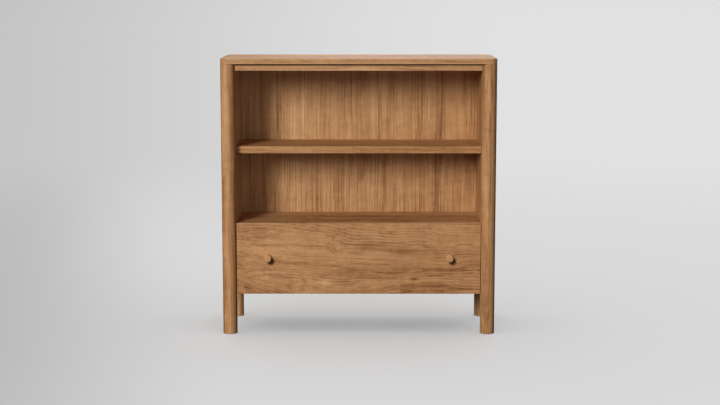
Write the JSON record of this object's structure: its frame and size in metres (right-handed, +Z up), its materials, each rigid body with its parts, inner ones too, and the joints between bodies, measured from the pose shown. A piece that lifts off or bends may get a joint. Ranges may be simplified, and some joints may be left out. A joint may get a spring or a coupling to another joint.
{
  "type": "bookcase with bottom drawer",
  "caption": "Freestanding open bookcase on round corner posts, with a floating slab top, a shelf and a full-width bottom drawer on ball-bearing slides.",
  "frame": {"origin": "on the floor, under the middle of the overall box of the closed bookcase, knobs included", "axes": "+Z up, +X to the right seen from the front, +Y to the back; the drawer opens towards -Y"},
  "size_m": [0.914, 0.342, 0.924],
  "materials": {
    "top_wood": "walnut-toned open-grain veneer, satin",
    "case_wood": "walnut-toned open-grain veneer, satin",
    "post_wood": "turned solid wood, walnut stain, satin",
    "drawer_front_wood": "walnut-toned veneer with horizontal grain, satin",
    "back_wood": "walnut-toned veneer with vertical grain, satin",
    "knob_wood": "turned solid wood, walnut stain, satin",
    "drawer_box_wood": "pale lacquered plywood",
    "dowel_wood": "fluted beech, raw",
    "cage_steel": "thin rolled strip",
    "ball_steel": "polished balls",
    "slide_steel": "zinc-plated rolled steel",
    "fastener_steel": "zinc-plated",
    "cam_zinc": "die-cast zinc",
    "dark_plastic": "moulded nylon"
  },
  "bodies": {
    "case": {"back_panel": "back_wood", "bottom_panel": "case_wood", "cam_bolts": "fastener_steel", "cam_locks": "cam_zinc", "case_dowels": "dowel_wood", "case_slide_screws": "fastener_steel", "fixed_shelf": "case_wood", "frame_dowels": "dowel_wood", "front_left_post": "post_wood", "front_right_post": "post_wood", "left_side_panel": "case_wood", "left_slide_outer_rail": "slide_steel", "middle_shelf": "case_wood", "post_glides": "dark_plastic", "rear_left_post": "post_wood", "rear_right_post": "post_wood", "right_side_panel": "case_wood", "right_slide_outer_rail": "slide_steel", "shelf_pins": "fastener_steel", "slab_dowels": "dowel_wood", "sub_top_panel": "case_wood", "top_panel": "top_wood", "top_screws": "fastener_steel", "top_spacers": "dark_plastic"},
    "drawer": {"drawer_back": "drawer_box_wood", "drawer_bottom": "drawer_box_wood", "drawer_box_front": "drawer_box_wood", "drawer_bumpers": "dark_plastic", "drawer_front": "drawer_front_wood", "drawer_front_screws": "fastener_steel", "drawer_left_side": "drawer_box_wood", "drawer_right_side": "drawer_box_wood", "drawer_slide_screws": "fastener_steel", "knob_screws": "fastener_steel", "left_knob": "knob_wood", "left_slide_inner_rail": "slide_steel", "right_knob": "knob_wood", "right_slide_inner_rail": "slide_steel"},
    "middle_rails": {"left_slide_middle_rail": "slide_steel", "right_slide_middle_rail": "slide_steel"},
    "outer_cages": {"left_outer_ball_cage": "cage_steel", "outer_slide_balls": "ball_steel", "right_outer_ball_cage": "cage_steel"},
    "inner_cages": {"inner_slide_balls": "ball_steel", "left_inner_ball_cage": "cage_steel", "right_inner_ball_cage": "cage_steel"}
  },
  "joints": [
    {"name": "drawer_slide", "type": "slide", "parent": "case", "child": "drawer", "axis": [0, -1, 0], "range_m": [0, 0.22]},
    {"name": "middle_rail_slide", "type": "slide", "parent": "case", "child": "middle_rails", "axis": [0, -1, 0], "range_m": [0, 0.11]},
    {"name": "outer_cage_slide", "type": "slide", "parent": "case", "child": "outer_cages", "axis": [0, -1, 0], "range_m": [0, 0.055]},
    {"name": "inner_cage_slide", "type": "slide", "parent": "case", "child": "inner_cages", "axis": [0, -1, 0], "range_m": [0, 0.165]}
  ],
  "couplings": [
    {"joint": "middle_rail_slide", "follows": "drawer_slide", "ratio": 0.5},
    {"joint": "outer_cage_slide", "follows": "drawer_slide", "ratio": 0.25},
    {"joint": "inner_cage_slide", "follows": "drawer_slide", "ratio": 0.75}
  ]
}
